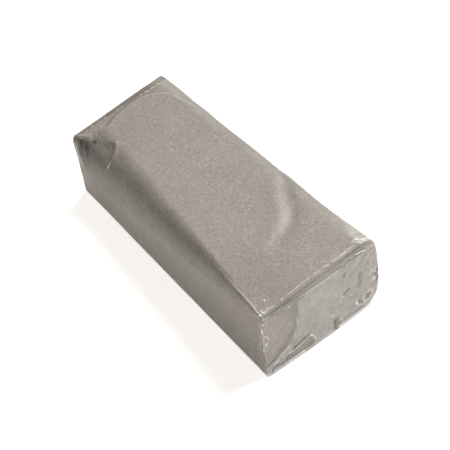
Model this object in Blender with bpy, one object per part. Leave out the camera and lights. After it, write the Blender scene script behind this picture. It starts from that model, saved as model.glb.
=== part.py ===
"""A detailing clay bar in its clear film wrap.

The bar lies on its underside: +X runs along its length, +Z is up, and the origin is the centre
of the rectangle it rests on. One sheet of film goes round the clay as a sleeve, whose two free
edges lap under the bar, and is folded shut at both ends like a parcel: two side tucks first,
then the top flap, then the bottom flap outermost. Each fold is a piece of its own, because each
one turns on its crease. All dimensions are in metres.
"""

import math

import bmesh
import bpy

# Driving dimensions
LENGTH = 0.104
WIDTH = 0.040
HEIGHT = 0.029
FILM = 0.0002
GAP = 0.0003

# The long edges: a worn, rounded shoulder along the left top edge that is crisp at both ends
SHOULDER_RADIUS = 0.0080
CRISP_RADIUS = 0.0015
RIGHT_RADIUS = 0.0035
SHOULDER_STARTS = (-0.050, -0.034)
SHOULDER_ENDS = (0.019, 0.040)
CLAY_END_RADIUS = 0.0012

# The folds, measured from the edge that each one is creased along
TUCK_DEPTH = 0.0130
TOP_FLAP_DEPTH = 0.0135
BOTTOM_FLAP_DEPTH = 0.0170
MITRE_CLEARANCE = 0.00025

# The laps of the sleeve under the bar
INNER_LAP_EDGE = -0.006
OUTER_LAP_EDGE = 0.008

# Fineness of the meshes
STATIONS = 16
ARC_STEPS = 6
END_STEPS = 3

# Worked out from the driving dimensions
LAYER = FILM + GAP
HALF_WIDTH = WIDTH / 2
SLEEVE_END = LENGTH / 2 - 3 * LAYER
CLAY_BOTTOM = 2 * LAYER
CLAY_TOP = HEIGHT - LAYER
TUCK_LAYER, TOP_LAYER, BOTTOM_LAYER = 1, 2, 3

# Each side's distance inwards from its edge in the end plane: a * y + b * z + c
INWARD = {
    "left": (1, 0, HALF_WIDTH),
    "right": (-1, 0, HALF_WIDTH),
    "top": (0, -1, HEIGHT),
    "bottom": (0, 1, 0),
}
NEIGHBOURS = {
    "left": ("top", "bottom"),
    "right": ("top", "bottom"),
    "top": ("left", "right"),
    "bottom": ("left", "right"),
}


def start_clean():
    for old in list(bpy.data.objects):
        bpy.data.objects.remove(old, do_unlink=True)


def principled(name, color, roughness, alpha=1.0):
    material = bpy.data.materials.new(name)
    material.use_nodes = True
    shader = material.node_tree.nodes["Principled BSDF"]
    shader.inputs["Base Color"].default_value = (*color, 1.0)
    shader.inputs["Roughness"].default_value = roughness
    shader.inputs["Metallic"].default_value = 0.0
    shader.inputs["Alpha"].default_value = alpha
    material.diffuse_color = (*color, alpha)
    return material


def clay_material():
    return principled("grey_clay", (0.36, 0.32, 0.28), 0.75)


def film_material(name):
    return principled(f"{name}_film", (0.55, 0.53, 0.49), 0.20, alpha=0.45)


def smooth_ramp(x, start, stop):
    t = min(max((x - start) / (stop - start), 0.0), 1.0)
    return t * t * (3 - 2 * t)


def shoulder_radius(x):
    swell = smooth_ramp(x, *SHOULDER_STARTS) * (1 - smooth_ramp(x, *SHOULDER_ENDS))
    return CRISP_RADIUS + (SHOULDER_RADIUS - CRISP_RADIUS) * swell


def arc(center_y, center_z, radius, start_degrees):
    """A quarter circle, clockwise as seen from the +X end."""
    angles = [math.radians(start_degrees - 90 * i / ARC_STEPS) for i in range(ARC_STEPS + 1)]
    return [(center_y + radius * math.cos(a), center_z + radius * math.sin(a)) for a in angles]


def corner_arcs(x, inset, bottom=None, top=None):
    """The cross-section's four corners, moved in from the wrap's outer face by inset.

    Clockwise as seen from the +X end, which is left top, right top, right bottom, left bottom.
    """
    low = inset if bottom is None else bottom
    high = HEIGHT - inset if top is None else top
    side = HALF_WIDTH - inset
    left_top = shoulder_radius(x) - inset
    right = RIGHT_RADIUS - inset
    left_bottom = CRISP_RADIUS - inset
    return [
        arc(left_top - side, high - left_top, left_top, 180),
        arc(side - right, high - right, right, 90),
        arc(side - right, low + right, right, 0),
        arc(left_bottom - side, low + left_bottom, left_bottom, -90),
    ]


def stations(half_length):
    return [half_length * (2 * i / STATIONS - 1) for i in range(STATIONS + 1)]


def finish(name, mesh_data, material, location=(0, 0, 0)):
    bmesh.ops.recalc_face_normals(mesh_data, faces=mesh_data.faces)
    mesh = bpy.data.meshes.new(name)
    mesh_data.to_mesh(mesh)
    mesh_data.free()
    mesh.shade_smooth()
    mesh.set_sharp_from_angle(angle=math.radians(35))
    mesh.materials.append(material)
    piece = bpy.data.objects.new(name, mesh)
    piece.location = location
    bpy.context.scene.collection.objects.link(piece)
    return piece


def loft(rings):
    """The walls through rings of (x, y, z) points, and the rings themselves, to be capped."""
    shape = bmesh.new()
    loops = [[shape.verts.new(point) for point in ring] for ring in rings]
    count = len(rings[0])
    for first, second in zip(loops, loops[1:]):
        for i in range(count):
            j = (i + 1) % count
            shape.faces.new((first[i], first[j], second[j], second[i]))
    return shape, loops


def clay_block():
    """The block of clay: square ended, with slightly eased end edges."""
    half = SLEEVE_END
    profile = []
    for i in range(END_STEPS + 1):
        turn = math.pi / 2 * i / END_STEPS
        ease = CLAY_END_RADIUS * (1 - math.sin(turn))
        profile.append((half - CLAY_END_RADIUS * (1 - math.cos(turn)), ease))
    body = stations(half - CLAY_END_RADIUS)
    far = [(-x, ease) for x, ease in profile[:-1]]
    near = [(x, ease) for x, ease in reversed(profile[:-1])]
    rings = []
    for x, ease in far + [(x, 0.0) for x in body] + near:
        arcs = corner_arcs(
            x, LAYER + ease / 3, bottom=CLAY_BOTTOM + ease, top=CLAY_TOP - ease
        )
        rings.append([(x, y, z) for part in arcs for y, z in part])
    shape, loops = loft(rings)
    shape.faces.new(loops[0])
    shape.faces.new(loops[-1])
    return finish("clay_block", shape, clay_material())


def film_strip(name, pick, half_length=SLEEVE_END):
    """A panel of the sleeve. pick(x, inset) gives one face's outline at a station."""
    rings = []
    for x in stations(half_length):
        outline = pick(x, 0.0) + pick(x, FILM)[::-1]
        rings.append([(x, y, z) for y, z in outline])
    shape, loops = loft(rings)
    count = len(loops[0])
    for ring in (loops[0], loops[-1]):
        for i in range(count // 2 - 1):
            shape.faces.new((ring[i], ring[i + 1], ring[count - 2 - i], ring[count - 1 - i]))
    return finish(name, shape, film_material(name))


def top_outline(x, inset):
    """Over the top, with both rounded top edges."""
    left_top, right_top, _, _ = corner_arcs(x, inset)
    return left_top + right_top


def right_outline(x, inset):
    """Down the right side and round the bottom edge."""
    _, _, right_bottom, _ = corner_arcs(x, inset)
    return [(HALF_WIDTH - inset, HEIGHT - RIGHT_RADIUS - GAP)] + right_bottom


def left_outline(x, inset):
    """Round the bottom edge and up the left side, as far as the shoulder."""
    _, _, _, left_bottom = corner_arcs(x, inset)
    return left_bottom + [(inset - HALF_WIDTH, HEIGHT - shoulder_radius(x) - GAP)]


def lap(name, low_y, high_y, bottom_z):
    """A flat lap of the sleeve, under the bar, out to the bottom flaps' creases."""

    def outline(x, inset):
        return [(low_y, bottom_z + inset), (high_y, bottom_z + inset)]

    return film_strip(name, outline, SLEEVE_END + TOP_LAYER * LAYER)


def clipped(points, a, b, c):
    """The part of a convex outline where a * y + b * z + c is not negative."""
    kept = []
    for (y0, z0), (y1, z1) in zip(points, points[1:] + points[:1]):
        first = a * y0 + b * z0 + c
        second = a * y1 + b * z1 + c
        if first >= 0:
            kept.append((y0, z0))
        if (first >= 0) != (second >= 0):
            t = first / (first - second)
            kept.append((y0 + t * (y1 - y0), z0 + t * (z1 - z0)))
    return kept


def fold_outline(end_x, side, depth):
    """One fold in the end plane: the bar's own outline, mitred to its neighbours."""
    points = [point for part in corner_arcs(end_x, 0.0) for point in part]
    a, b, c = INWARD[side]
    for neighbour in NEIGHBOURS[side]:
        na, nb, nc = INWARD[neighbour]
        points = clipped(points, na - a, nb - b, nc - c - MITRE_CLEARANCE)
    return clipped(points, -a, -b, depth - c)


def crease(way, side, layer):
    """A point on the crease that a fold turns on: its outer edge."""
    x = way * (SLEEVE_END + layer * LAYER)
    return {
        "left": (x, -HALF_WIDTH, HEIGHT / 2),
        "right": (x, HALF_WIDTH, HEIGHT / 2),
        "top": (x, 0.0, HEIGHT),
        "bottom": (x, 0.0, 0.0),
    }[side]


def fold(end, way, kind, side, depth, layer):
    """One fold of the film over an end. Its origin is on its crease."""
    name = f"{end}_{kind}"
    origin = crease(way, side, layer)
    shape = bmesh.new()
    loops = []
    for thickness in (0.0, FILM):
        loops.append([
            shape.verts.new((-way * thickness, y - origin[1], z - origin[2]))
            for y, z in fold_outline(way * SLEEVE_END, side, depth)
        ])
    count = len(loops[0])
    for i in range(count):
        j = (i + 1) % count
        shape.faces.new((loops[0][i], loops[0][j], loops[1][j], loops[1][i]))
    for loop in loops:
        shape.faces.new(loop)
    return finish(name, shape, film_material(name), origin)


def sleeve():
    film_strip("film_top_panel", top_outline)
    film_strip("film_right_panel", right_outline)
    film_strip("film_left_panel", left_outline)
    lap("film_inner_lap", INNER_LAP_EDGE, HALF_WIDTH - RIGHT_RADIUS, LAYER)
    lap("film_outer_lap", CRISP_RADIUS - HALF_WIDTH + GAP, OUTER_LAP_EDGE, 0.0)


def end_folds():
    for end, way in (("near", 1), ("far", -1)):
        fold(end, way, "left_tuck", "left", TUCK_DEPTH, TUCK_LAYER)
        fold(end, way, "right_tuck", "right", TUCK_DEPTH, TUCK_LAYER)
        fold(end, way, "top_flap", "top", TOP_FLAP_DEPTH, TOP_LAYER)
        fold(end, way, "bottom_flap", "bottom", BOTTOM_FLAP_DEPTH, BOTTOM_LAYER)


start_clean()
clay_block()
sleeve()
end_folds()
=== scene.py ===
import math

import bmesh
import bpy
import numpy as np
from mathutils import Matrix, Vector


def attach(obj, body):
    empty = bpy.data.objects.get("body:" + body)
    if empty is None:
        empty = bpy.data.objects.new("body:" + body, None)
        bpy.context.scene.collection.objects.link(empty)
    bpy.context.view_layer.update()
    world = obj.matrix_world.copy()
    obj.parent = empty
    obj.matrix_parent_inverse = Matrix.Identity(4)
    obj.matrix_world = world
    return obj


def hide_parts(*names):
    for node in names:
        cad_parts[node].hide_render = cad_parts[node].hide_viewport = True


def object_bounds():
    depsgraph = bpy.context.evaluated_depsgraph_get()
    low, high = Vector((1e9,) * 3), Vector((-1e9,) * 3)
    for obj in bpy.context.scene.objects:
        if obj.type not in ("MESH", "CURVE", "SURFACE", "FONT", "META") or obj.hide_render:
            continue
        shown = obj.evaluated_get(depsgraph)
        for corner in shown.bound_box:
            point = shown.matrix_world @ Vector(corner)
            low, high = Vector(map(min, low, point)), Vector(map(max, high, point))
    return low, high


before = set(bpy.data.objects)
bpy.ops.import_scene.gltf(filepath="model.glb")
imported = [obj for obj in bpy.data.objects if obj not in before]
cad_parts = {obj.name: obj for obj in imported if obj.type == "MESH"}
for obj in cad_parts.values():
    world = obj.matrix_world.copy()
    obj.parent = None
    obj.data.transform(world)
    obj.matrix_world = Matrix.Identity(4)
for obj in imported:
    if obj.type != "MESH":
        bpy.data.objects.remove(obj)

# The look of a detailing clay bar in its clear film wrap. Shapes are worked out in millimetres
# and made into meshes in metres. +X is the near end, -Y the side with the worn long edge.

cad_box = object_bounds()
HALF_LENGTH, HALF_WIDTH, TOP = [1000 * side for side in cad_box[1]]

FILM = 0.03             # thickness of the film as shown
CLAY_INSET = 0.22       # the clay's sides and top, in from the wrap's outer face
CLAY_BASE = 0.30        # the clay's underside, above the surface it lies on
CLAY_END = 51.45        # the clay's end faces, either way from the middle
CLAY_END_RADIUS = 0.5
CLAY_END_RINGS = 24     # rings of points from an end's rim to its middle
CLAY_LOWEST = 0.28      # nothing of the clay reaches below this,
FILM_LOWEST = 0.005     # nor of the film below this

# ---------------------------------------------------------------- arithmetic on whole arrays


def ramp(start, stop, value):
    """0 before start, 1 after stop, smooth in between."""
    t = np.clip((value - start) / (stop - start), 0, 1)
    return t * t * (3 - 2 * t)


def lumps(u, v, size, seed):
    """Smooth noise from -1 to 1 over a plane, with lumps about size across."""
    table = np.random.default_rng(seed).uniform(-1, 1, (64, 64))
    u, v = np.asarray(u) / size + 1000.5, np.asarray(v) / size + 1000.5
    i, j = np.floor(u).astype(int), np.floor(v).astype(int)
    fu, fv = u - i, v - j
    fu, fv = fu * fu * (3 - 2 * fu), fv * fv * (3 - 2 * fv)
    a, b = table[i % 64, j % 64], table[(i + 1) % 64, j % 64]
    c, d = table[i % 64, (j + 1) % 64], table[(i + 1) % 64, (j + 1) % 64]
    return (a * (1 - fu) + b * fu) * (1 - fv) + (c * (1 - fu) + d * fu) * fv


def curve_through(points, steps=10):
    """A smooth line through a few points, as a dense list."""
    p = np.array([points[0], *points, points[-1]], float)
    t = np.linspace(0, 1, steps, endpoint=False)[:, None]
    runs = []
    for a, b, c, d in zip(p, p[1:], p[2:], p[3:]):
        runs.append(0.5 * (2 * b + (c - a) * t + (2 * a - 5 * b + 4 * c - d) * t**2
                           + (3 * b - a - 3 * c + d) * t**3))
    return np.concatenate([*runs, p[-1:]])


def from_line(u, v, points, steps=10):
    """For each (u, v): its distance from the line, positive to the line's left, and how far
    along the line the nearest point is, from 0 to 1."""
    line = curve_through(points, steps)
    best = np.full(np.shape(u), np.inf)
    signed = np.zeros(np.shape(u))
    along = np.zeros(np.shape(u))
    total = len(line) - 1
    for k, ((ax, ay), (bx, by)) in enumerate(zip(line, line[1:])):
        dx, dy = bx - ax, by - ay
        length = dx * dx + dy * dy + 1e-12
        t = np.clip(((u - ax) * dx + (v - ay) * dy) / length, 0, 1)
        ex, ey = u - ax - t * dx, v - ay - t * dy
        gap = ex * ex + ey * ey
        near = gap < best
        best = np.where(near, gap, best)
        side = np.where(dx * ey - dy * ex >= 0, 1.0, -1.0)
        signed = np.where(near, side * np.sqrt(gap), signed)
        along = np.where(near, (k + t) / total, along)
    return signed, along


def inside(u, v, corners):
    """How far inside a closed outline each point is: positive inside, negative outside."""
    ring = [*corners, corners[0]]
    best = np.full(np.shape(u), np.inf)
    within = np.zeros(np.shape(u), bool)
    for (ax, ay), (bx, by) in zip(ring, ring[1:]):
        dx, dy = bx - ax, by - ay
        t = np.clip(((u - ax) * dx + (v - ay) * dy) / (dx * dx + dy * dy), 0, 1)
        best = np.minimum(best, np.hypot(u - ax - t * dx, v - ay - t * dy))
        if ay != by:
            crosses = ((ay > v) != (by > v)) & (u < (bx - ax) * (v - ay) / (by - ay) + ax)
            within ^= crosses
    return np.where(within, best, -best)


def bell(value, width):
    """A smooth bump: 1 where value is 0, and almost gone at twice the width either way."""
    return np.exp(-((value / width) ** 2))


def ends_faded(along, share):
    """1 along a line, fading to 0 over a share of its length at both ends."""
    return ramp(0, share, along) * ramp(0, share, 1 - along)


# ---------------------------------------------------------------- making meshes

SHARP_ANGLE = math.radians(62)      # edges that turn more than this are shaded sharp


def stored(name, points, faces, masks):
    """A closed mesh object from points in millimetres, smooth, facing out, with its masks."""
    mesh = bpy.data.meshes.new(name)
    mesh.from_pydata((0.001 * points).tolist(), [], faces)
    solid = bmesh.new()
    solid.from_mesh(mesh)
    if solid.calc_volume(signed=True) < 0:
        bmesh.ops.reverse_faces(solid, faces=solid.faces)
        solid.to_mesh(mesh)
    solid.free()
    for mask, values in masks.items():
        layer = mesh.attributes.new(mask, "FLOAT", "POINT")
        layer.data.foreach_set("value", np.ascontiguousarray(values, np.float32))
    mesh.shade_smooth()
    mesh.set_sharp_from_angle(angle=SHARP_ANGLE)
    piece = bpy.data.objects.new(name, mesh)
    bpy.context.scene.collection.objects.link(piece)
    return piece


def grid_faces(rows, columns, closed=False):
    """The faces between a grid's points. If closed, its last column meets its first."""
    i, j = np.meshgrid(np.arange(rows - 1), np.arange(columns - (not closed)), indexing="ij")
    k = (j + 1) % columns
    corners = [i * columns + j, i * columns + k, (i + 1) * columns + k, (i + 1) * columns + j]
    return np.stack(corners, axis=-1).reshape(-1, 4)


def normals_of(grid, closed=False):
    """Outward unit normals of a grid of points with rows along the bar and columns round it."""
    if closed:
        across = np.roll(grid, -1, axis=1) - np.roll(grid, 1, axis=1)
    else:
        across = np.gradient(grid, axis=1)
    normal = np.cross(across, np.gradient(grid, axis=0))
    normal /= np.maximum(np.linalg.norm(normal, axis=-1, keepdims=True), 1e-9)
    highest = np.unravel_index(grid[..., 2].argmax(), grid.shape[:2])
    return normal if normal[highest][2] > 0 else -normal


def sheet_of(name, outer, inner, haze, crease, shade):
    """A closed thin sheet between two grids of points. Its outer face carries the masks."""
    rows, columns = outer.shape[:2]
    count = rows * columns
    front = grid_faces(rows, columns)
    back = front[:, ::-1] + count
    index = np.arange(count).reshape(rows, columns)
    rim = np.concatenate([index[0, :-1], index[:-1, -1], index[-1, :0:-1], index[:0:-1, 0]])
    after = np.roll(rim, -1)
    sides = np.stack([after, rim, rim + count, after + count], axis=-1)
    points = np.concatenate([outer.reshape(-1, 3), inner.reshape(-1, 3)])
    masks = {mask: np.concatenate([np.clip(values, 0, 1).reshape(-1), np.zeros(count)])
             for mask, values in (("haze", haze), ("crease", crease), ("shade", shade))}
    return stored(name, points, np.concatenate([front, back, sides]).tolist(), masks)


# ---------------------------------------------------------------- the bar's form

SHOULDER_WIDTH = 11.8   # how far the worn long edge eats into the top, at its widest,
SHOULDER_DROP = 16.5    # and how far down the side
CRISP_RADIUS = 1.3      # of the same edge where it isn't worn
FOOT_RADIUS = 0.5       # of the bar's lower left edge
RIGHT_CRISP_RADIUS = 0.9
RIGHT_RADIUS = 3.4      # of the near end's right-hand corners
RIGHT_BULGE = 3.2       # how far the near end's right side swells
FOOT_BULGE = 0.5        # how far the near end's bottom edge bows out
FAR_SLOPE = 0.45        # how far the far end's top edge has sagged
FINE_FROM = 44          # rows of points lie closer together beyond this, either way

# How far each corner of the bar is out of square: (x, y, z) of the nominal corner in half
# sizes, then the offset. The bar is hand pressed.
OUT_OF_SQUARE = (
    ((-1, -1, 1), (1.0, 0.5, -0.8)),
    ((-1, 1, 1), (-0.6, -0.3, 1.1)),
    ((1, 1, 1), (0.0, 0.6, 0.3)),
    ((1, -1, 1), (0.5, 0.4, 0.3)),
    ((1, -1, -1), (0.0, -1.3, 0.0)),
    ((1, 1, -1), (0.9, 0.6, 0.0)),
    ((-1, -1, -1), (-0.8, -0.3, 0.0)),
)


def far_fold(y):
    """Where the far end of the top starts to slope away."""
    return -49.1 + 0.06 * y


def pressed(p):
    """Moves points of the square bar to where they are on the real, hand-pressed one."""
    x, y, z = p[..., 0], p[..., 1], p[..., 2]
    a, b, c = x / HALF_LENGTH, y / HALF_WIDTH, 2 * z / TOP - 1
    moved = p.copy()
    for (sx, sy, sz), offset in OUT_OF_SQUARE:
        share = (1 + sx * a) * (1 + sy * b) * (1 + sz * c) / 8
        moved += share[..., None] * np.array(offset)
    swell = np.clip(1 - np.abs(c) ** 5, 0, 1) * ramp(30, HALF_LENGTH, x) * ramp(4, HALF_WIDTH, y)
    moved[..., 1] += RIGHT_BULGE * swell
    moved[..., 2] -= FAR_SLOPE * ramp(far_fold(y) + 0.5, -52.0, x) * ramp(TOP - 9, TOP, z)
    moved[..., 0] += FOOT_BULGE * ramp(44, HALF_LENGTH, x) * np.clip(1 - b * b, 0, 1) * (1 - c) / 2
    return moved


def shoulder(x):
    """The worn edge's width and drop: widest by the far end, crisp at both ends."""
    worn = ramp(-52.5, -43.5, x) * np.clip((48 - x) / 88, 0, 1)
    return (CRISP_RADIUS + (SHOULDER_WIDTH - CRISP_RADIUS) * worn,
            CRISP_RADIUS + (SHOULDER_DROP - CRISP_RADIUS) * worn**0.6)


def right_radius(x):
    """The right-hand edges are crisp, and rounded by the near end."""
    return RIGHT_CRISP_RADIUS + (RIGHT_RADIUS - RIGHT_CRISP_RADIUS) * ramp(38, HALF_LENGTH, x)


def run(y0, z0, y1, z1, count, x):
    """A straight stretch of the outline, without its last point, at each x."""
    t = np.linspace(0, 1, count, endpoint=False)[None, :]
    return y0 + t * (y1 - y0) + 0 * x, z0 + t * (z1 - z0) + 0 * x


def quarter(center_y, center_z, width, height, start, count, x):
    """A quarter of an ellipse, clockwise from start degrees, without its last point."""
    angle = np.radians(start - 90 * np.linspace(0, 1, count, endpoint=False)[None, :])
    return center_y + width * np.cos(angle) + 0 * x, center_z + height * np.sin(angle) + 0 * x


def around(x, inset, low):
    """The cross-section's outline at each x, from the lower left corner up, over the top and
    down to the lower right corner. inset may differ from x to x."""
    x = x[:, None]
    inset = np.zeros_like(x) + np.reshape(inset, (-1, 1))
    side, high = HALF_WIDTH - inset, TOP - inset
    width, drop = [size - inset * 0.9 for size in shoulder(x)]
    right = right_radius(x) - inset * 0.5
    left = FOOT_RADIUS - inset * 0.3
    parts = (
        quarter(left - side, low + left, left, left, 270, 5, x),
        run(-side, low + left, -side, high - drop, 26, x),
        quarter(width - side, high - drop, width, drop, 180, 34, x),
        run(width - side, high, side - right, high, 76, x),
        quarter(side - right, high - right, right, right, 90, 10, x),
        run(side, high - right, side, low + right, 20, x),
        quarter(side - right, low + right, right, right, 0, 9, x),
    )
    return [np.concatenate(values, axis=1) for values in zip(*parts)]


def stations(end):
    """Places along the bar, closer together near both ends."""
    fine_far = np.arange(-end, -FINE_FROM, 0.26)
    middle = np.linspace(-FINE_FROM, FINE_FROM, 158, endpoint=False)
    fine_near = np.linspace(FINE_FROM, end, 38)
    return np.concatenate([fine_far, middle, fine_near])


# Lines on the top, as (x, y): the pressed crescent, the dent and the nick near the far end, and
# the edge of the flat plateau that the far part of the top forms. These points, and those of
# the near end's marks below, were placed from the photo.
CRESCENT = [(15.2, 20.4), (17.4, 17.8), (22.6, 14.4), (28.9, 10.6), (32.5, 5.6), (34.2, 0.4),
            (35.1, -4.9)]
FAR_DENT = [(-37.6, -9.6), (-36.2, -11.6), (-34.8, -13.6), (-33.9, -15.4), (-33.4, -17.4)]
FAR_NICK = [(-46.6, -13.6), (-45.8, -14.8), (-44.0, -15.2)]
PLATEAU = [(-45.6, -9.0), (-47.3, -3.0), (-47.8, 3.0), (-47.0, 9.0), (-44.2, 13.6), (-38.8, 16.4),
           (-28.6, 18.4)]


def top_marks(x, y):
    """What is pressed into the top: the crescent, the step round the plateau and the hollows
    towards the left at both ends."""
    gap, along = from_line(x, y, CRESCENT)
    width = np.where(gap > 0, 2.0, 2.7)
    top = -0.55 * bell(gap, width) * ends_faded(along, 0.2)
    top += 0.28 * bell(gap + 4.4, 2.3) * ends_faded(along, 0.3)
    beyond, _ = from_line(x, y, PLATEAU)
    top -= 0.34 * ramp(-0.3, 0.9, beyond) * ramp(-27, -38, x) * ramp(-12, -7, y)
    top += 0.10 * bell(beyond + 0.7, 0.7) * ramp(-27, -38, x)
    top -= 0.80 * ramp(20, 46, x) * ramp(2, -19, y)
    top -= 0.90 * ramp(-18, -44, x) * ramp(6, -14, y)
    return top


def far_dent(x, y):
    """The dent by the far end of the shoulder, its raised rim, and the nick beyond it."""
    gap, along = from_line(x, y, FAR_DENT)
    dent = -0.8 * ramp(0.2, -1.6, gap) * ramp(-9, -3.0, gap) * ends_faded(along, 0.3)
    dent += 0.45 * bell(gap - 0.7, 0.8) * ends_faded(along, 0.2)
    gap, along = from_line(x, y, FAR_NICK)
    return dent - 0.3 * bell(gap, 0.5) * ends_faded(along, 0.2)


def form(p, n):
    """How far the clay, and the film that clings to it, stands out from the square bar."""
    x, y, z = p[..., 0], p[..., 1], p[..., 2]
    up, left, right = [ramp(0.5, 0.9, value) for value in (n[..., 2], -n[..., 1], n[..., 1])]
    down = ramp(-0.3, -0.7, n[..., 2])
    height = (0.12 * lumps(x + 0.3 * z, y + z, 17, 1) + 0.05 * lumps(x, y + z, 6.5, 2)
              + 0.018 * lumps(x - z, y + z, 2.4, 3)) * (1 - 0.8 * down)
    height = height + up * top_marks(x, y) + ramp(0.1, 0.45, n[..., 2]) * far_dent(x, y)
    hollow = bell(z - 13, 8)
    height -= left * (0.25 * hollow + 0.10 * lumps(x, z, 9, 4))
    height += right * (0.25 * hollow + 0.10 * lumps(x, z, 9, 5))
    edge = bell(np.hypot(y - HALF_WIDTH, z - TOP), 5)
    return height + 0.12 * edge * lumps(x, 0, 7.5, 6)


def painted_clay_shade(skin, normal):
    """Painted shade on the clay: darker along the worn edge, by the near left corner of the top
    and on the long sides."""
    x, y, z = skin[..., 0], skin[..., 1], skin[..., 2]
    n_y, n_z = normal[..., 1], normal[..., 2]
    worn = ramp(-0.02, 0.16, n_z) * ramp(0.85, 0.45, n_z) * ramp(-2, -8, y)
    worn *= 1 - 0.8 * ramp(12, 38, x) - 0.2 * ramp(-36, -46, x)
    corner = ramp(18, 44, x) * ramp(0, -15, y) * ramp(0.8, 0.97, n_z)
    sides = 0.60 * ramp(0.5, 0.9, np.abs(n_y)) * ramp(0.2, 0.0, n_z)
    far_side = ramp(-32, -43, x) * ramp(0.3, 0.9, -n_y)
    sides += 0.6 * far_side * bell(z - 16, 5)
    return np.clip(worn + 0.45 * corner + sides, 0, 1)


def end_rings(rim, hub):
    """Rings from an end's rim towards its middle, the rim left out."""
    shares = np.linspace(0, 1, CLAY_END_RINGS, endpoint=False)[1:]
    return np.stack([rim + share * (hub - rim) for share in shares])


def clay():
    """The block of clay, with eased ends, as one closed skin."""
    turn = np.linspace(0, np.pi / 2, 6)
    end_x = CLAY_END - CLAY_END_RADIUS * (1 - np.cos(turn))
    end_inset = CLAY_END_RADIUS * (1 - np.sin(turn))
    body = stations(CLAY_END - CLAY_END_RADIUS)[1:-1]
    x = np.concatenate([-end_x, body, end_x[::-1]])
    inset = CLAY_INSET + np.concatenate([end_inset, 0 * body, end_inset[::-1]])
    low = CLAY_BASE + (inset - CLAY_INSET)[:, None]
    y, z = around(x, inset, low)
    base_y, base_z = run(y[:, -1:] - 1.0, low, y[:, :1], low, 24, x[:, None])
    y, z = np.concatenate([y, base_y], axis=1), np.concatenate([z, base_z], axis=1)
    skin = np.stack([np.repeat(x[:, None], y.shape[1], axis=1), y, z], axis=-1)
    far_rings, near_rings = [end_rings(rim, np.array([rim[0, 0], 0, TOP / 2]))
                             for rim in (skin[0], skin[-1])]
    skin = np.concatenate([far_rings[::-1], skin, near_rings])
    normal = normals_of(skin, closed=True)
    facing = np.abs(normal[..., 0])
    bulge = form(skin, normal) - facing * 0.05 * (1 + lumps(skin[..., 1], skin[..., 2], 5, 8))
    skin = pressed(skin + normal * bulge[..., None])

    # A point in the middle of each end closes the skin
    rows, columns = skin.shape[:2]
    points = np.concatenate([skin.reshape(-1, 3), skin[:1].mean(axis=1), skin[-1:].mean(axis=1)])
    points[:, 2] = np.maximum(points[:, 2], CLAY_LOWEST)
    far_hub, near_hub, last = rows * columns, rows * columns + 1, (rows - 1) * columns
    faces = grid_faces(rows, columns, closed=True).tolist()
    faces += [(far_hub, (a + 1) % columns, a) for a in range(columns)]
    faces += [(near_hub, last + a, last + (a + 1) % columns) for a in range(columns)]
    # Painted shade, darker along the worn edge, by the near left corner of the top and on the long
    # sides
    painted_shade = np.append(painted_clay_shade(skin, normal), [0.0, 0.0])
    return stored("clay", points, faces, {"painted_clay_shade": painted_shade})


# ---------------------------------------------------------------- the film round the sides

FILM_INSET = 0.04       # the film's outer face, in from the wrap's nominal outer face
SIDE_CREASE = 51.0      # how far out the sleeve reaches before the side tucks' creases
TOP_CREASE = 51.5
BOTTOM_CREASE = 52.0
INNER_LAP_EDGE = -6.0   # how far across the underside each lap reaches
OUTER_LAP_EDGE = 8.0
INNER_LAP_LIFT = 0.13   # the inner lap lies on the outer one
INNER_LAP_COLUMNS = 20
OUTER_LAP_COLUMNS = 24

# Film bridging the near left edge in long narrow loops, as (x, z) on the left side
EDGE_LOOPS = (
    ((51.4, 23.0), (50.3, 18.0), (49.6, 12.4), (50.7, 10.9)),
    ((50.8, 26.4), (50.2, 24.4), (50.9, 22.6)),
)
# Pleats where the film turns the far left corner: (points, painted highlight, painted shade), also as
# (x, z)
FAR_PLEATS = (
    (((-48.9, 28.6), (-47.6, 22.0), (-45.6, 14.0)), 0.0, 0.85),
    (((-50.2, 28.2), (-49.2, 22.0), (-47.8, 15.5)), 0.65, 0.0),
    (((-47.4, 27.5), (-45.2, 21.0), (-43.0, 16.0)), 0.0, 0.65),
)
# Small puckers by the near left corner of the top: (x, y, size, strength of the painted highlight)
PUCKERS = ((47.2, -15.3, 0.45, 0.95), (45.9, -17.2, 0.5, 0.35), (48.3, -17.4, 0.4, 0.35),
           (44.6, -10.5, 0.6, 0.35))
DENT_TIPS = ((-37.2, -10.2), (-33.7, -16.8))    # (x, y) on the top of the painted highlights at the dent's tips


class Marks:
    """What a sheet of film does at each of its points: its height, and its three masks: haze, painted
    highlight and painted shade.
    """

    def __init__(self, haze):
        self.haze = haze
        self.height, self.crease, self.shade = [np.zeros(haze.shape) for _ in range(3)]

    def add(self, height, crease, shade):
        self.height += height
        self.crease += crease
        self.shade += shade


def ridged(u, v, size, seed):
    """Thin crests on flat ground, from 0 to 1, as in crumpled film."""
    return (1 - np.abs(lumps(u, v, size, seed))) ** 5


def on_line(u, v, line, width):
    """1 on a line, fading away from it; and how far along the line each point is."""
    gap, along = from_line(u, v, line)
    return bell(gap, width), along


def near_ridge(marks, x, y, up):
    """The pinched ridge along the near top edge, with a second, finer one beside it, both with painted
    highlights along them.
    """
    crest = 50.55 + 0.22 * lumps(y, 0, 6, 22)
    ridge = bell(x - crest, 0.34) * up
    marks.height += ridge * (0.36 + 0.14 * lumps(y, 0, 2.2, 23))
    marks.crease += ridge * (0.60 + 0.60 * lumps(y, 0, 0.8, 24))
    fine = bell(x - crest + 0.95 + 0.3 * lumps(y, 3, 7, 25), 0.22) * up
    marks.height += 0.07 * fine
    marks.crease += 0.25 * fine * ramp(-0.2, 0.6, lumps(y, 5, 3, 26))


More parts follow.
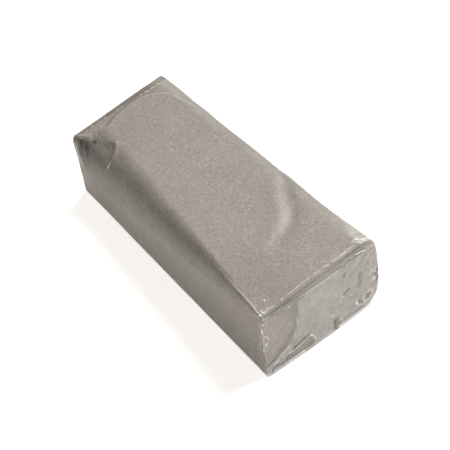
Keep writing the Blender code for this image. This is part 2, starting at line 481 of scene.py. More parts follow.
def bunched_corners(marks, x, y, z):
    """Bunched film at the near top corners: painted highlights on its crumples and painted shade in
    its hollows.
    """
    for corner_x, corner_y in ((49.6, -18.6), (49.8, 18.2)):
        close = bell(np.hypot(np.hypot(x - corner_x, y - corner_y), 0.7 * (z - TOP)), 3.2)
        crumple = ridged(x - 0.5 * y, y + z, 0.9, 76)
        hollows = ridged(x + 0.4 * y, y - z, 1.1, 86)
        marks.add(0.16 * close * crumple, 1.15 * close * crumple, 0.8 * close * hollows)


def left_edge(marks, x, y, z, left):
    """The crisp crease along the left top edge towards the near end, with a painted highlight and
    painted shade under it, and the near edge's loops with painted highlights.
    """
    crisp = bell(np.hypot(y + HALF_WIDTH, z - TOP), 0.7) * ramp(20, 38, x)
    # Painted shade under the crisp edge
    under = bell(z - TOP + 3.4, 1.4) * left * ramp(4, 30, x)
    marks.add(0.16 * crisp, 0.30 * crisp * ramp(-0.3, 0.5, lumps(x, 0, 3.5, 47)), 0.12 * under)
    for line in EDGE_LOOPS:
        on, along = on_line(x, z, line, 0.3)
        marks.add(0.14 * on * left, 0.85 * on * left * ends_faded(along, 0.08), 0)


def far_end_of_top(marks, x, y, up, slope):
    """The fold near the far end, with painted highlights in dashes along it, painted shade on the
    slope beyond it, a painted highlight and a painted shade line along the edge of the plateau, and
    painted shade beyond that edge."""
    fold_x = far_fold(y) + 0.25 * lumps(y, 0, 5, 48)
    fold = bell(x - fold_x, 0.3) * slope * ramp(19, 16, np.abs(y))
    dashes = ramp(0.0, 0.5, lumps(y, 0, 0.9, 49))
    marks.add(0.16 * fold, 1.3 * fold * dashes, 0.30 * ramp(fold_x, fold_x - 0.5, x) * up)
    marks.haze -= 0.15 * ramp(fold_x, fold_x - 0.6, x) * up
    beyond, along = from_line(x, y, PLATEAU)
    lit = 0.22 * bell(beyond + 0.4, 0.5) * ends_faded(along, 0.1) * up
    marks.add(0, lit, 0.30 * (bell(beyond - 0.5, 0.5) * ends_faded(along, 0.1) * up))
    marks.shade += 0.30 * ramp(-0.2, 0.6, beyond) * ramp(-41, -46, x) * ramp(16, 12, y) * slope


def far_pleats(marks, x, z, n):
    """Pleats where the film turns the far left corner, drawn as painted highlights and painted shade.
    """
    for points, light, dark in FAR_PLEATS:
        on, along = on_line(x, z, points, 0.7)
        on = on * ends_faded(along, 0.25) * ramp(0.2, 0.5, -n[..., 1])
        marks.add(0.3 * light * on, light * on, dark * on)


def dent_marks(marks, x, y, slope):
    """The far dent: painted shade under its crest, painted highlights on its crest and at both tips,
    and painted shade in the nick beyond.
    """
    for tip_x, tip_y in DENT_TIPS:
        marks.crease += 0.9 * bell(np.hypot(x - tip_x, y - tip_y), 0.7) * slope
    gap, along = from_line(x, y, FAR_DENT)
    beside = ramp(0.2, -0.4, gap) * ramp(-3.4, -0.4, gap)
    crest = bell(gap - 0.5, 0.45)
    marks.add(0, 0.5 * crest * slope * ends_faded(along, 0.25),
              0.16 * beside * slope * ends_faded(along, 0.3))
    nick, along = on_line(x, y, FAR_NICK, 0.55)
    marks.shade += 0.60 * nick * slope * ends_faded(along, 0.3)


def puckers(marks, x, y, up):
    """Small puckers by the near left corner of the top, each with a painted highlight."""
    for spot_x, spot_y, size, light in PUCKERS:
        mark = bell(np.hypot(x - spot_x, y - spot_y), size) * up
        marks.add(0.10 * mark, light * mark, 0)


def right_edge(marks, x, y, z, up, right):
    """The film stands off the clay along the right long edge, with more haze and a painted highlight
    there, has a thin line of painted shade where it turns over it, and is crumpled down the near right
    edge with painted highlights on the crumples."""
    marks.haze += 0.35 * ramp(15.0, 17.5, y) * up
    marks.crease += 0.22 * ramp(15.0, 17.0, y) * up
    marks.shade += 0.22 * bell(np.hypot(y - HALF_WIDTH, z - TOP), 0.8)
    close = ramp(47.5, 50.8, x) * right
    crumple = ridged(x * 0.6, z + 0.5 * x, 1.2, 51)
    marks.add(0.16 * close * crumple, 0.5 * close * crumple, 0)


def sleeve_relief(p, n):
    """The film's own wrinkles on the four long sides, with its haze, painted highlights and painted
    shade.
    """
    x, y, z = p[..., 0], p[..., 1], p[..., 2]
    up, left, right = [ramp(0.35, 0.8, value) for value in (n[..., 2], -n[..., 1], n[..., 1])]
    slope = ramp(0.1, 0.4, n[..., 2])
    # Less haze on the left side, as painted shade there
    marks = Marks(0.30 - 0.16 * left + 0.10 * lumps(x, y + z, 14, 20)
                  + 0.06 * lumps(x, y + z, 4, 21))
    near_ridge(marks, x, y, up)
    bunched_corners(marks, x, y, z)
    left_edge(marks, x, y, z, left)
    far_end_of_top(marks, x, y, up, slope)
    far_pleats(marks, x, z, n)
    dent_marks(marks, x, y, slope)
    puckers(marks, x, y, up)
    right_edge(marks, x, y, z, up, right)
    return marks


def film_sleeve():
    """One sheet round the bar: inner lap, right side, top, left side, outer lap."""
    share = stations(CLAY_END) / CLAY_END
    x = share * SIDE_CREASE
    start = x[:, None]
    y, z = around(x, FILM_INSET, FILM_INSET)
    y, z = y[:, ::-1], z[:, ::-1]
    inner_y, _ = run(INNER_LAP_EDGE, 0, HALF_WIDTH - right_radius(start) - 0.4, 0,
                     INNER_LAP_COLUMNS, start)
    inner_z = FILM_INSET + INNER_LAP_LIFT * ramp(12.5, 9.0, inner_y)
    outer_y, outer_z = run(FOOT_RADIUS - HALF_WIDTH + 0.4, FILM_INSET, OUTER_LAP_EDGE, FILM_INSET,
                           OUTER_LAP_COLUMNS, start)
    wave = 0.35 * lumps(x, 0, 9, 52)[:, None]
    inner_y = inner_y + wave * ramp(4, INNER_LAP_EDGE, inner_y)
    outer_y = outer_y - wave * ramp(0, OUTER_LAP_EDGE, outer_y)
    y = np.concatenate([inner_y, y, outer_y], axis=1)
    z = np.concatenate([inner_z, z, outer_z], axis=1)
    over = ramp(TOP - 3, TOP, z)
    under = ramp(3, 0, z)
    reach = SIDE_CREASE + over * (TOP_CREASE - SIDE_CREASE) + under * (BOTTOM_CREASE - SIDE_CREASE)
    grid = np.stack([share[:, None] * reach, y, z], axis=-1)
    normal = normals_of(grid)

    # The laps lie flat, and their free edges get a painted highlight
    marks = sleeve_relief(grid, normal)
    height = marks.height + form(grid, normal)
    height[:, :INNER_LAP_COLUMNS] = 0
    height[:, -OUTER_LAP_COLUMNS:] = 0
    crease = np.clip(marks.crease, 0, 1)
    crease[:, [0, -1]] += 0.5
    outer = grid + normal * height[..., None]
    inner = outer - normal * FILM
    outer, inner = pressed(outer), pressed(inner)
    for skin in (outer, inner):
        skin[..., 2] = np.maximum(skin[..., 2], FILM_LOWEST)
    return sheet_of("film_sleeve", outer, inner, marks.haze, crease, marks.shade)


# ---------------------------------------------------------------- the folded ends

# Each fold: how deep it is, the plane it lies in, and the plane of its crease
FOLDS = {
    "left_tuck": (12.6, 51.60, SIDE_CREASE),
    "right_tuck": (15.8, 51.60, SIDE_CREASE),
    "top_flap": (13.5, 51.66, TOP_CREASE),
    "bottom_flap": (17.0, 51.72, BOTTOM_CREASE),
}
LOW_LEFT_STEP = 3.7     # the near bottom flap's left side starts this far up the corner
TUCK_MARGIN = 0.35      # the tucks stop this far short of the end's top and bottom edges
END_RADII = {"near": RIGHT_RADIUS, "far": RIGHT_CRISP_RADIUS}


def rounding(radius, d):
    """How far a corner of this radius has drawn in at a distance d from the edge."""
    return radius - np.sqrt(np.maximum(radius**2 - np.clip(radius - d, 0, radius) ** 2, 0))


def fold_sides(end, kind, d):
    """The two ends of a fold's row at distance d from its crease. The flaps narrow at 45
    degrees; the tucks run the height of the end, under the flaps."""
    corner = rounding(END_RADII[end], d)
    crisp = rounding(CRISP_RADIUS, d)
    step = LOW_LEFT_STEP if end == "near" else 0.0
    if kind == "bottom_flap":
        return np.maximum(crisp, d - step) - HALF_WIDTH, HALF_WIDTH - np.maximum(corner, d)
    if kind == "top_flap":
        return np.maximum(crisp, d) - HALF_WIDTH, HALF_WIDTH - np.maximum(corner, d)
    drawn = crisp if kind == "left_tuck" else corner
    return TUCK_MARGIN + drawn, TOP - TUCK_MARGIN - drawn


def covering(end, kind, y, z):
    """1 where a flap lies over the point, 0 clear of it."""
    d = z if kind == "bottom_flap" else TOP - z
    first, last = fold_sides(end, kind, d)
    within = np.minimum(np.minimum(y - first, last - y), FOLDS[kind][0] - d)
    return ramp(0.15, 0.45, within)


OVER = {
    "bottom_flap": (),
    "top_flap": ("bottom_flap",),
    "left_tuck": ("bottom_flap", "top_flap"),
    "right_tuck": ("bottom_flap", "top_flap"),
}
LAYER_DROP = 0.02       # how far a fold's free edges settle on to the layer beneath
HIDDEN_HAZE = 0.12      # what shows of a layer of film under another
COVERED_RELIEF = 0.8    # how much of the relief a covered layer keeps
# How bright the painted highlight along each fold's crease is
CREASE_LIGHT = {"left_tuck": 0.35, "right_tuck": 0.35, "top_flap": 0.35, "bottom_flap": 0.0}
EDGE_LIGHT = {"near": 0.20, "far": 0.35}    # how bright the painted highlight along the folds' free edges is
ROW_STEP = 0.22         # between a fold's rows of points
FLAP_COLUMNS = 170
TUCK_COLUMNS = 124
DRAWN_WITHIN = 6        # the folds follow the bar's form this far in from the end's edges

# Marks of the near end's film, as (y, z): first the areas and the upper edge of the haze
CLINGING = [(-21, 3.4), (-18.6, 5.0), (-13.5, 8.0), (-11.2, 10.2), (-9.4, 12.9), (-8.0, 15.8),
            (-7.7, 20.1), (-7.3, 25.0), (-7.0, 31), (-21, 31)]
UPPER_EDGE = [(-19.8, 28.0), (-15.4, 27.2), (-11.9, 26.6), (-7.9, 26.2), (-2.9, 26.3), (4.4, 26.0),
              (9.1, 25.8), (13.8, 25.9), (19.8, 26.4)]
TONGUE = [(-13.6, 2.1), (-12.4, 4.3), (-9.1, 4.8), (-6.5, 5.4), (-4.3, 6.4), (-3.1, 4.8), (-2.4, 2.4),
          (-3.4, 0.9), (-6.8, 0.6), (-12.2, 0.4)]
TAB = [(5.1, 4.6), (4.7, 2.0), (5.2, -0.6), (7.1, -1.0), (7.5, 1.2), (6.4, 4.6)]
TEAR = [(13.7, 17.4), (13.9, 15.0), (14.1, 12.6), (13.1, 11.5), (12.1, 12.2), (12.4, 14.4),
        (13.1, 15.6)]
FOOT_STRIP = [(-2, -1), (-1.5, 0.9), (5, 1.3), (11, 2.0), (16.5, 2.6), (19, 1.2), (19, -1)]

PATCHES = ((TONGUE, 0.85), (TAB, 0.8), (TEAR, 0.75), (FOOT_STRIP, 0.6))     # and how clear each is

# Each crease: (points, width, height, painted highlight, painted shade)
NEAR_CREASES = (
    (((-20.5, 3.4), (-18.9, 4.2), (-16.1, 5.6), (-13.6, 7.1), (-11.0, 8.6)), 0.45, 0.10, 0.55, 0.0),
    (((-11.2, 10.2), (-9.4, 12.9), (-8.0, 15.8), (-7.7, 20.1), (-7.4, 24.4)), 0.60, 0.0, 0.12, 0.0),
    (((-8.0, 18.5), (-7.8, 16.0), (-8.3, 14.6)), 0.30, 0.05, 0.55, 0.0),
    (((-19.6, 28.5), (-15.4, 27.9), (-11.9, 27.2), (-7.9, 26.5), (-2.9, 26.0)), 0.40, 0.16, 0.45, 0.0),
    (((-19.4, 27.9), (-15.4, 27.1), (-11.9, 26.5), (-7.9, 25.7), (-4.0, 25.2)), 0.36, 0.0, 0.0, 1.0),
    (((-3.5, 25.7), (0.7, 25.3), (4.4, 25.2), (8.0, 25.3)), 0.34, 0.12, 0.50, 0.0),
    (((8.4, 26.4), (11.1, 26.9), (13.8, 26.6), (16.6, 25.7)), 0.40, 0.16, 0.85, 0.0),
    (((8.4, 25.7), (11.1, 26.1), (13.8, 25.8), (16.2, 24.9)), 0.34, 0.0, 0.0, 0.95),
    (((-19.0, 28.8), (-12.0, 28.4), (-4.0, 28.2), (4.0, 28.1), (12.0, 28.3), (18.0, 28.4)),
     0.34, 0.0, 0.0, 0.60),
    (((-2.0, 27.3), (3.0, 27.0), (8.0, 27.4), (12.5, 27.8)), 0.30, 0.08, 0.40, 0.0),
    (((-10.8, 5.3), (-9.3, 5.7), (-7.9, 6.0), (-6.1, 6.6), (-4.1, 7.4)), 0.46, 0.0, 0.0, 1.3),
    (((-12.4, 4.6), (-10.0, 4.9), (-7.6, 5.2), (-5.8, 5.7), (-4.6, 6.2)), 0.36, 0.12, 0.75, 0.0),
    (((-4.2, 7.4), (-3.4, 9.0), (-2.2, 11.1)), 0.28, 0.03, 0.0, 0.45),
    (((-4.4, 6.7), (-3.2, 5.2), (-2.5, 2.7), (-3.0, 1.4)), 0.42, 0.14, 0.75, 0.0),
    (((5.6, 0.2), (4.9, 1.6), (5.0, 3.4), (5.4, 5.0), (6.6, 4.9)), 0.34, 0.05, 0.0, 1.15),
    (((6.0, 3.9), (6.9, 3.6), (7.4, 1.6)), 0.34, 0.10, 0.60, 0.0),
    (((19.4, 25.4), (16.0, 24.4), (13.1, 22.7), (11.0, 20.6)), 0.30, 0.06, 0.40, 0.0),
    (((19.0, 24.6), (15.6, 23.5), (12.6, 21.4), (10.4, 18.4)), 0.28, 0.04, 0.0, 0.45),
    (((18.6, 23.6), (16.2, 22.2), (14.4, 20.0), (13.7, 17.6)), 0.28, 0.05, 0.35, 0.0),
    (((19.2, 22.0), (17.4, 19.0), (16.6, 15.5)), 0.26, 0.05, 0.25, 0.0),
    (((18.2, 26.6), (14.6, 24.9), (11.6, 23.4), (9.2, 20.8)), 0.26, 0.04, 0.28, 0.0),
    (((13.9, 18.0), (13.5, 16.6), (13.4, 15.2)), 0.36, 0.0, 0.0, 0.85),
    (((9.3, 22.5), (8.8, 20.6)), 0.40, 0.0, 0.0, 0.95),
    (((9.3, 14.3), (8.5, 12.7)), 0.46, 0.0, 0.0, 1.1),
    (((10.1, 14.9), (9.9, 13.3)), 0.32, 0.0, 0.0, 0.8),
    (((8.1, 13.2), (7.8, 12.4)), 0.30, 0.05, 0.7, 0.0),
    (((12.2, 7.6), (11.9, 6.2), (12.6, 4.4), (14.0, 3.2), (15.6, 2.9)), 0.36, 0.14, 0.75, 0.0),
    (((12.7, 6.1), (13.0, 4.9), (14.1, 4.4)), 0.34, 0.0, 0.0, 0.9),
    (((9.6, 9.6), (12.0, 9.9), (14.6, 10.8)), 0.30, 0.0, 0.0, 0.35),
    (((18.9, 15.5), (17.8, 13.9), (18.9, 12.4), (17.4, 10.2)), 0.32, 0.14, 0.9, 0.0),
    (((19.8, 15.0), (19.0, 13.0), (19.7, 10.8), (18.4, 8.0), (18.9, 5.6)), 0.34, 0.12, 0.8, 0.0),
    (((19.3, 14.4), (18.4, 12.2), (19.0, 9.6), (18.1, 7.0)), 0.36, 0.0, 0.0, 0.95),
    (((17.4, 15.2), (16.2, 13.4)), 0.24, 0.08, 0.7, 0.0),
    (((18.0, 15.8), (16.4, 14.2)), 0.24, 0.08, 0.6, 0.0),
    (((-19.0, 1.4), (-18.0, 3.1), (-16.4, 4.4), (-15.0, 4.7)), 0.40, 0.10, 0.65, 0.0),
    (((-18.4, 0.9), (-17.4, 2.6), (-16.0, 3.5)), 0.42, 0.0, 0.0, 1.0),
    (((-16.2, 2.9), (-14.8, 2.3), (-13.4, 0.9)), 0.38, 0.06, 0.0, 0.9),
    (((-16.6, 4.0), (-15.4, 3.4), (-14.6, 1.9)), 0.30, 0.08, 0.55, 0.0),
    (((-20.1, 23.8), (-19.6, 19.4), (-19.7, 14.6), (-20.3, 11.0)), 0.30, 0.14, 0.9, 0.0),
    (((-19.4, 20.2), (-18.6, 17.9), (-19.0, 15.7), (-19.6, 14.8)), 0.30, 0.12, 0.75, 0.0),
    (((-19.2, 18.2), (-19.1, 16.8)), 0.40, 0.0, 0.0, 0.8),
)
# Each bright fleck, drawn with the painted highlights: (y, z, size)
NEAR_FLECKS = ((4.4, 7.7, 0.50), (5.7, 9.0, 0.34), (3.6, 8.6, 0.28), (-15.9, 17.5, 0.30),
               (-14.8, 13.2, 0.30), (-10.5, 25.4, 0.42), (-19.5, 25.2, 0.50), (-17.9, 26.8, 0.36),
               (-13.0, 20.6, 0.22), (10.8, 10.6, 0.24))
PRESSED_HOLE = (15.7, 5.3, 1.5)     # (y, z, radius)

# The far end's creases, in the same form as the near end's
FAR_CREASES = (
    (((-19.0, 26.6), (-8.0, 26.0), (4.0, 26.3), (18.8, 25.6)), 0.30, 0.12, 0.45, 0.0),
    (((-18.0, 25.6), (-9.0, 25.1), (-2.0, 25.4)), 0.26, 0.0, 0.0, 0.4),
    (((18.6, 26.5), (14.0, 21.5), (9.0, 17.5)), 0.24, 0.06, 0.25, 0.0),
    (((-18.8, 25.5), (-14.5, 21.0), (-11.8, 16.0)), 0.24, 0.06, 0.22, 0.0),
    (((12.5, 3.2), (9.0, 6.0), (4.2, 7.2)), 0.26, 0.08, 0.35, 0.0),
    (((-6.0, 9.5), (-2.5, 11.8), (1.0, 12.2)), 0.26, 0.06, 0.25, 0.2),
)

# Crumpled film in the corners: (y, z, reach, seed)
NEAR_CORNERS = ((-19.2, 27.6, 2.2, 90), (17.8, 27.2, 3.0, 91), (-17.6, 1.6, 2.0, 92),
                (19.2, 11.0, 3.2, 93))
FAR_CORNERS = ((-19.0, 27.8, 1.8, 130), (18.8, 27.6, 1.8, 131), (-18.4, 1.4, 1.6, 132),
               (18.2, 1.8, 1.9, 133))


def pressed_hole(marks, y, z):
    """A small hole with a raised ring: a painted highlight on the ring and painted shade in the hole.
    """
    hole_y, hole_z, radius = PRESSED_HOLE
    r = np.hypot(y - hole_y, (z - hole_z) * 0.85)
    ring = bell(r - radius, 0.36)
    marks.add(0.18 * ring, 0.75 * ring, 1.2 * bell(r, 0.55 * radius))


def crumpled(marks, y, z, corners, narrow, height, light, dark):
    """Crumpled film in an end's corners, with painted highlights on the crumples and painted shade in
    the hollows. narrow is a patch's width as a share of its height.
    """
    for corner_y, corner_z, reach, seed in corners:
        close = np.exp(-(((y - corner_y) / (reach * narrow)) ** 2 + ((z - corner_z) / reach) ** 2))
        crumple = ridged(y + 0.6 * z, z - 0.3 * y, 0.95, seed)
        hollows = ridged(y - 0.5 * z, z, 1.1, seed + 10)
        marks.add(height * close * crumple, light * close * crumple, dark * close * hollows)


def near_relief(y, z):
    """The near end's film, as it lies at rest."""
    cling = ramp(-1.3, 1.1, inside(y, z, CLINGING))
    haze = 0.92 - 0.80 * cling + 0.10 * lumps(y, z, 6, 60) + 0.05 * lumps(y, z, 1.9, 61)
    band, _ = from_line(y, z, UPPER_EDGE)
    haze *= (1 - 0.62 * ramp(-0.15, 0.25, band)) * (1 - 0.16 * ramp(7, 15, y))
    for patch, amount in PATCHES:
        haze *= 1 - amount * ramp(-0.25, 0.35, inside(y, z, patch))
    marks = Marks(haze)
    marks.height += 0.05 * (1 + lumps(y, z, 4.5, 62)) * (1 - cling)
    marks.height += 0.02 * (1 + lumps(y, z, 1.6, 63))
    for k, (points, width, rise, light, dark) in enumerate(NEAR_CREASES):
        on, along = on_line(y, z, points, width)
        rough = 0.85 + 0.55 * lumps(along * 8, 0 * y, 1, 70 + k)
        strength = on * ends_faded(along, 0.12) * rough
        marks.add(rise * strength, 1.25 * light * strength, 1.4 * dark * strength)
    for fleck_y, fleck_z, size in NEAR_FLECKS:
        mark = bell(np.hypot(y - fleck_y, z - fleck_z), size)
        marks.add(0.06 * mark, 1.1 * mark, 0)
    pressed_hole(marks, y, z)
    crumpled(marks, y, z, NEAR_CORNERS, 0.8, 0.22, 1.1, 0.9)
    return marks


def far_relief(y, z):
    """The far end's film: as tightly folded, with fewer air pockets."""
    pocket = ramp(-0.2, 0.5, lumps(y + 3, z, 11, 120) + 0.3 * lumps(y, z, 4, 121))
    marks = Marks(0.25 + 0.55 * pocket + 0.06 * lumps(y, z, 2, 122))
    marks.height += 0.05 * (1 + lumps(y, z, 4.5, 123)) * pocket
    marks.height += 0.02 * (1 + lumps(y, z, 1.6, 124))
    for points, width, rise, light, dark in FAR_CREASES:
        on, along = on_line(y, z, points, width)
        strength = on * ends_faded(along, 0.12)
        marks.add(rise * strength, light * strength, dark * strength)
    crumpled(marks, y, z, FAR_CORNERS, 1.0, 0.18, 0.65, 0.4)
    return marks


def drawn_in(way, y, z):
    """A point of an end's plane, moved with the bar's own form along the end's four edges."""
    x = np.full(y.shape, way * SIDE_CREASE)
    top_z, side_y = np.full(y.shape, TOP), np.full(y.shape, HALF_WIDTH)
    facing = [np.broadcast_to(np.array(normal, float), (*y.shape, 3))
              for normal in ((0, 0, 1), (0, -1, 0), (0, 1, 0))]
    top = form(np.stack([x, y, top_z], axis=-1), facing[0])
    left = form(np.stack([x, -side_y, z], axis=-1), facing[1])
    right = form(np.stack([x, side_y, z], axis=-1), facing[2])
    y_moved = (y - left * ramp(DRAWN_WITHIN - HALF_WIDTH, -HALF_WIDTH, y)
               + right * ramp(HALF_WIDTH - DRAWN_WITHIN, HALF_WIDTH, y))
    return y_moved, z + top * ramp(TOP - DRAWN_WITHIN, TOP, z)


def placed(kind, across, out):
    """The (y, z) of points across a fold, and out from its crease over the end."""
    return {
        "bottom_flap": (across, out),
        "top_flap": (across, TOP - out),
        "left_tuck": (out - HALF_WIDTH, across),
        "right_tuck": (HALF_WIDTH - out, across),
    }[kind]


def end_fold(end, way, kind):
    """One fold of film over an end, from its crease to its free edge."""
    depth, plane, crease_plane = FOLDS[kind]
    d = depth * np.linspace(0, 1, int(depth / ROW_STEP))[:, None]
    share = np.linspace(0, 1, FLAP_COLUMNS if kind.endswith("flap") else TUCK_COLUMNS)[None, :]
    seed = 200 + 10 * len(kind) + (way > 0)
    torn = 0.08 * lumps(d, 0, 1.7, seed) * ramp(0.6, 2.5, d)
    first, last = fold_sides(end, kind, d)
    across = (first + torn) * (1 - share) + (last + torn[::-1]) * share
    out = d + 0.12 * lumps(across, 0, 2.6, seed + 1) * ramp(0.75, 1, d / depth)
    y, z = placed(kind, across, out)

    # What lies under another fold shows less, and free edges settle and get a painted highlight, as
    # does each crease
    marks = near_relief(y, z) if end == "near" else far_relief(y, z)
    rim = np.minimum(np.minimum(y + HALF_WIDTH, HALF_WIDTH - y), np.minimum(z, TOP - z))
    edge = np.minimum(np.minimum(share, 1 - share) * (last - first), depth - d)
    settled = LAYER_DROP * ramp(1.6, 0.1, edge) * ramp(0.9, 2.0, d)
    shown = np.ones(y.shape)
    for flap in OVER[kind]:
        shown *= 1 - covering(end, flap, y, z)
    height = marks.height * (COVERED_RELIEF + (1 - COVERED_RELIEF) * shown)
    x = (crease_plane + (plane - settled - crease_plane) * ramp(0, 0.9, d)
         + height * ramp(0.0, 0.7, rim))
    crease = marks.crease + EDGE_LIGHT[end] * bell(edge, 0.25) * ramp(0.5, 2, d)
    glint = 0.6 + 0.4 * lumps(across, 0, 1.3, seed + 2)
    crease = shown * crease + CREASE_LIGHT[kind] * bell(d, 0.35) * glint
    haze = marks.haze * shown + HIDDEN_HAZE * (1 - shown)

    y_moved, z_moved = drawn_in(way, y, z)
    outer = np.stack([way * x, y_moved, z_moved], axis=-1)
    inner = outer - np.array([way * FILM, 0, 0])
    return sheet_of(f"{end}_{kind}_film", pressed(outer), pressed(inner), haze, crease,
                    marks.shade * shown)


# ---------------------------------------------------------------- materials


class Graph:
    """Short names for building a material's nodes."""

    def __init__(self, name):
        self.material = bpy.data.materials.new(name)
        self.material.use_nodes = True
        self.nodes = self.material.node_tree.nodes
        self.links = self.material.node_tree.links
        self.shader = self.nodes["Principled BSDF"]

    def link(self, source, target):
        self.links.new(source, target)

    def feed(self, socket, value):
        if isinstance(value, bpy.types.NodeSocket):
            self.link(value, socket)
        else:
            socket.default_value = value

    def place(self):
        return self.nodes.new("ShaderNodeTexCoord").outputs["Object"]

    def noise(self, scale, detail, roughness):
        node = self.nodes.new("ShaderNodeTexNoise")
        node.inputs["Scale"].default_value = scale
        node.inputs["Detail"].default_value = detail
        node.inputs["Roughness"].default_value = roughness
        self.link(self.place(), node.inputs["Vector"])
        return node.outputs["Fac"]

    def cells(self, scale):
        node = self.nodes.new("ShaderNodeTexVoronoi")
        node.inputs["Scale"].default_value = scale
        self.link(self.place(), node.inputs["Vector"])
        return node.outputs["Distance"], node.outputs["Color"]

    def mask(self, name):
        node = self.nodes.new("ShaderNodeAttribute")
        node.attribute_name = name
        return node.outputs["Fac"]

    def math(self, operation, first, second=0.0, third=0.0, clamp=False):
        node = self.nodes.new("ShaderNodeMath")
        node.operation = operation
        node.use_clamp = clamp
        for socket, value in zip(node.inputs, (first, second, third)):
            self.feed(socket, value)
        return node.outputs[0]

    def spread(self, value, low, high, to_low=0.0, to_high=1.0):
        node = self.nodes.new("ShaderNodeMapRange")
        node.interpolation_type = "SMOOTHSTEP"
        for name, number in zip(("From Min", "From Max", "To Min", "To Max"),
                                (low, high, to_low, to_high)):
            node.inputs[name].default_value = number
        self.feed(node.inputs["Value"], value)
        return node.outputs[0]

    def mix(self, share, first, second, blend="MIX"):
        node = self.nodes.new("ShaderNodeMix")
        node.data_type = "RGBA"
        node.blend_type = blend
        self.feed(node.inputs[0], share)
        self.feed(node.inputs[6], first)
        self.feed(node.inputs[7], second)
        return node.outputs[2]

    def bump(self, height, distance, strength):
        node = self.nodes.new("ShaderNodeBump")
        node.inputs["Distance"].default_value = distance
        node.inputs["Strength"].default_value = strength
        self.link(height, node.inputs["Height"])
        self.link(node.outputs["Normal"], self.shader.inputs["Normal"])

    def set(self, **sockets):
        for name, value in sockets.items():
            self.feed(self.shader.inputs[name.replace("_", " ")], value)


def shade_of(red, green, blue):
    return (red, green, blue, 1.0)


PAINTED_HIGHLIGHT_WHITE = shade_of(0.86, 0.83, 0.79)
HAZE_OF_FILM = shade_of(0.455, 0.437, 0.400)
TINT_OF_FILM = shade_of(0.40, 0.37, 0.33)
PAINTED_SHADE_DARK = shade_of(0.075, 0.058, 0.045)
CLAY_IN_PAINTED_SHADE = shade_of(0.76, 0.755, 0.75)     # what the painted shade multiplies the clay's colour by
FLOOR_GLOW = 0.76       # the bar stands on an evenly lit table


def clay_material():
    """Matt putty: a fine salt-and-pepper grain over slow changes of tone, with tiny pits, and painted
    shade along the worn edge and the long sides.
    """
    g = Graph("grey_clay")
    grain = g.noise(2900, 3.0, 0.65)
    fleck = g.noise(1150, 1.5, 0.5)
    broad = g.noise(75, 3.0, 0.55)
    tone = g.mix(g.spread(broad, 0.3, 0.7), shade_of(0.315, 0.279, 0.242),
                 shade_of(0.352, 0.315, 0.277))
    tone = g.mix(g.spread(grain, 0.38, 0.62), g.mix(0.38, tone, shade_of(0.12, 0.10, 0.08)),
                 g.mix(0.34, tone, shade_of(0.64, 0.60, 0.55)))
    tone = g.mix(g.spread(fleck, 0.60, 0.72, 0.0, 0.42), tone, shade_of(0.62, 0.59, 0.54))
    tone = g.mix(g.spread(fleck, 0.40, 0.30, 0.0, 0.45), tone, shade_of(0.15, 0.13, 0.11))
    # Painted shade: the clay darkens where the painted shade mask is
    tone = g.mix(g.mask("painted_clay_shade"), tone, CLAY_IN_PAINTED_SHADE, "MULTIPLY")
    g.set(Base_Color=tone, Roughness=0.72)
    g.shader.inputs["Specular IOR Level"].default_value = 0.35
    pits = g.math("ADD", g.math("MULTIPLY", grain, 0.6), g.math("MULTIPLY", fleck, 0.7))
    g.bump(pits, distance=0.00010, strength=0.6)
    return g.material


def film_material():
    """Clear film: nearly unseen where it clings, hazy over air, with painted highlights along its
    creases and painted shade in its folds.
    """
    g = Graph("clear_film")
    haze, crease, dark = g.mask("haze"), g.mask("crease"), g.mask("shade")
    cloud = g.noise(320, 4.0, 0.6)
    grit = g.noise(2600, 2.0, 0.6)
    distance, tint = g.cells(420)
    rare = g.nodes.new("ShaderNodeSeparateColor")
    g.link(tint, rare.inputs[0])
    bubble = g.math("MULTIPLY", g.spread(distance, 0.16, 0.07),
                    g.spread(rare.outputs[0], 0.93, 0.95))
    veil = g.math("MULTIPLY", haze, g.spread(cloud, 0.25, 0.75, 0.85, 1.15))
    tone = g.mix(veil, TINT_OF_FILM, HAZE_OF_FILM)
    # Painted highlights: white where the painted highlight mask or a rare bubble is
    bright = g.math("MAXIMUM", crease, g.math("MULTIPLY", bubble, 0.75), clamp=True)
    tone = g.mix(bright, tone, PAINTED_HIGHLIGHT_WHITE)
    # Painted shade: darkened towards the shade colour where the shade mask is
    tone = g.mix(g.math("MULTIPLY", dark, 0.95, clamp=True), tone, PAINTED_SHADE_DARK)
    alpha = g.math("MULTIPLY_ADD", veil, 0.62, 0.04)
    alpha = g.math("MAXIMUM", alpha, g.math("MULTIPLY", bright, 0.85))
    alpha = g.math("MAXIMUM", alpha, g.math("MULTIPLY", dark, 0.90), clamp=True)
    g.set(Base_Color=tone, Alpha=alpha, Roughness=g.spread(cloud, 0.3, 0.7, 0.20, 0.34))
    g.shader.inputs["IOR"].default_value = 1.49
    g.bump(g.math("ADD", cloud, g.math("MULTIPLY", grit, 0.25)), distance=0.00025, strength=0.45)
    return g.material


def floor_material():
    g = Graph("pale_floor")
    soft = g.noise(6, 3.0, 0.5)
    g.set(Base_Color=g.mix(soft, shade_of(0.90, 0.90, 0.895), shade_of(0.94, 0.94, 0.935)),
          Roughness=0.9, Emission_Color=shade_of(1.0, 0.975, 0.94))
    g.shader.inputs["Emission Strength"].default_value = FLOOR_GLOW
    return g.material


# ---------------------------------------------------------------- putting it together


def build_clay():
    block = clay()
    block.data.materials.append(clay_material())
    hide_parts("clay_block")
    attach(block, "bar")


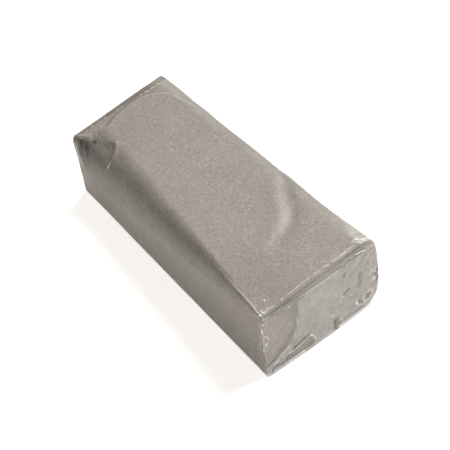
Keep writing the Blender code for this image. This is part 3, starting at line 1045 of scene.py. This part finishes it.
def build_film():
    """The sleeve, which stays with the clay, and the folds, which turn with their creases."""
    film = film_material()
    sleeve = film_sleeve()
    sleeve.data.materials.append(film)
    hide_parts("film_top_panel", "film_left_panel", "film_right_panel",
                "film_inner_lap", "film_outer_lap")
    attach(sleeve, "bar")
    for end, way in (("near", 1), ("far", -1)):
        for kind in FOLDS:
            fold = end_fold(end, way, kind)
            fold.data.materials.append(film)
            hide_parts(f"{end}_{kind}")
            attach(fold, f"{end}_{kind}")


FLOOR_SIZE = 6.0


def build_floor():
    bpy.ops.mesh.primitive_plane_add(size=FLOOR_SIZE, location=(0, 0, 0))
    floor = bpy.context.object
    floor.name = "floor"
    floor.data.materials.append(floor_material())


WORLD_COLOR = (1.0, 0.985, 0.96, 1.0)
WORLD_STRENGTH = 0.17
LIT_POINT = (0, 0, 0.015)       # both lamps point here, by the middle of the bar


def area_light(name, at, size, watts, color=(1, 1, 1)):
    light = bpy.data.lights.new(name, "AREA")
    light.shape = "DISK"
    light.size = size
    light.energy = watts
    light.color = color
    lamp = bpy.data.objects.new(name, light)
    lamp.location = at
    lamp.rotation_euler = (Vector(LIT_POINT) - Vector(at)).to_track_quat("-Z", "Y").to_euler()
    bpy.context.scene.collection.objects.link(lamp)


def build_light():
    world = bpy.data.worlds.new("studio")
    world.use_nodes = True
    sky = world.node_tree.nodes["Background"].inputs
    sky["Color"].default_value = WORLD_COLOR
    sky["Strength"].default_value = WORLD_STRENGTH
    bpy.context.scene.world = world
    area_light("key", at=(-0.05, 0.95, 1.08), size=0.9, watts=32.0, color=(1.0, 0.985, 0.965))
    area_light("end_fill", at=(1.3, 0.15, 0.55), size=0.7, watts=0.4)


CAMERA_AZIMUTH = 61.37          # degrees, from the -Y side towards +X
CAMERA_ELEVATION = 48.38
CAMERA_ROLL = 11.68
CAMERA_DISTANCE = 0.3264
CAMERA_AIM = (0.00449, 0.00123, 0.01152)
CAMERA_LENS = 81.35


def build_camera():
    azimuth, elevation, roll = [math.radians(angle) for angle in
                                (CAMERA_AZIMUTH, CAMERA_ELEVATION, CAMERA_ROLL)]
    back = Vector((math.sin(azimuth) * math.cos(elevation),
                   -math.cos(azimuth) * math.cos(elevation), math.sin(elevation)))
    level = Vector((math.cos(azimuth), math.sin(azimuth), 0))
    upright = back.cross(level)
    right = level * math.cos(roll) - upright * math.sin(roll)
    up = level * math.sin(roll) + upright * math.cos(roll)
    data = bpy.data.cameras.new("camera")
    data.lens = CAMERA_LENS
    data.sensor_width = 36.0
    data.clip_start = 0.01
    camera = bpy.data.objects.new("camera", data)
    turn = Matrix((right, up, back)).transposed().to_4x4()
    camera.matrix_world = Matrix.Translation(Vector(CAMERA_AIM) + back * CAMERA_DISTANCE) @ turn
    bpy.context.scene.collection.objects.link(camera)
    bpy.context.scene.camera = camera


build_camera()
build_clay()
build_film()
build_floor()
build_light()
bpy.context.scene.view_settings.view_transform = "Standard"

bpy.context.view_layer.update()
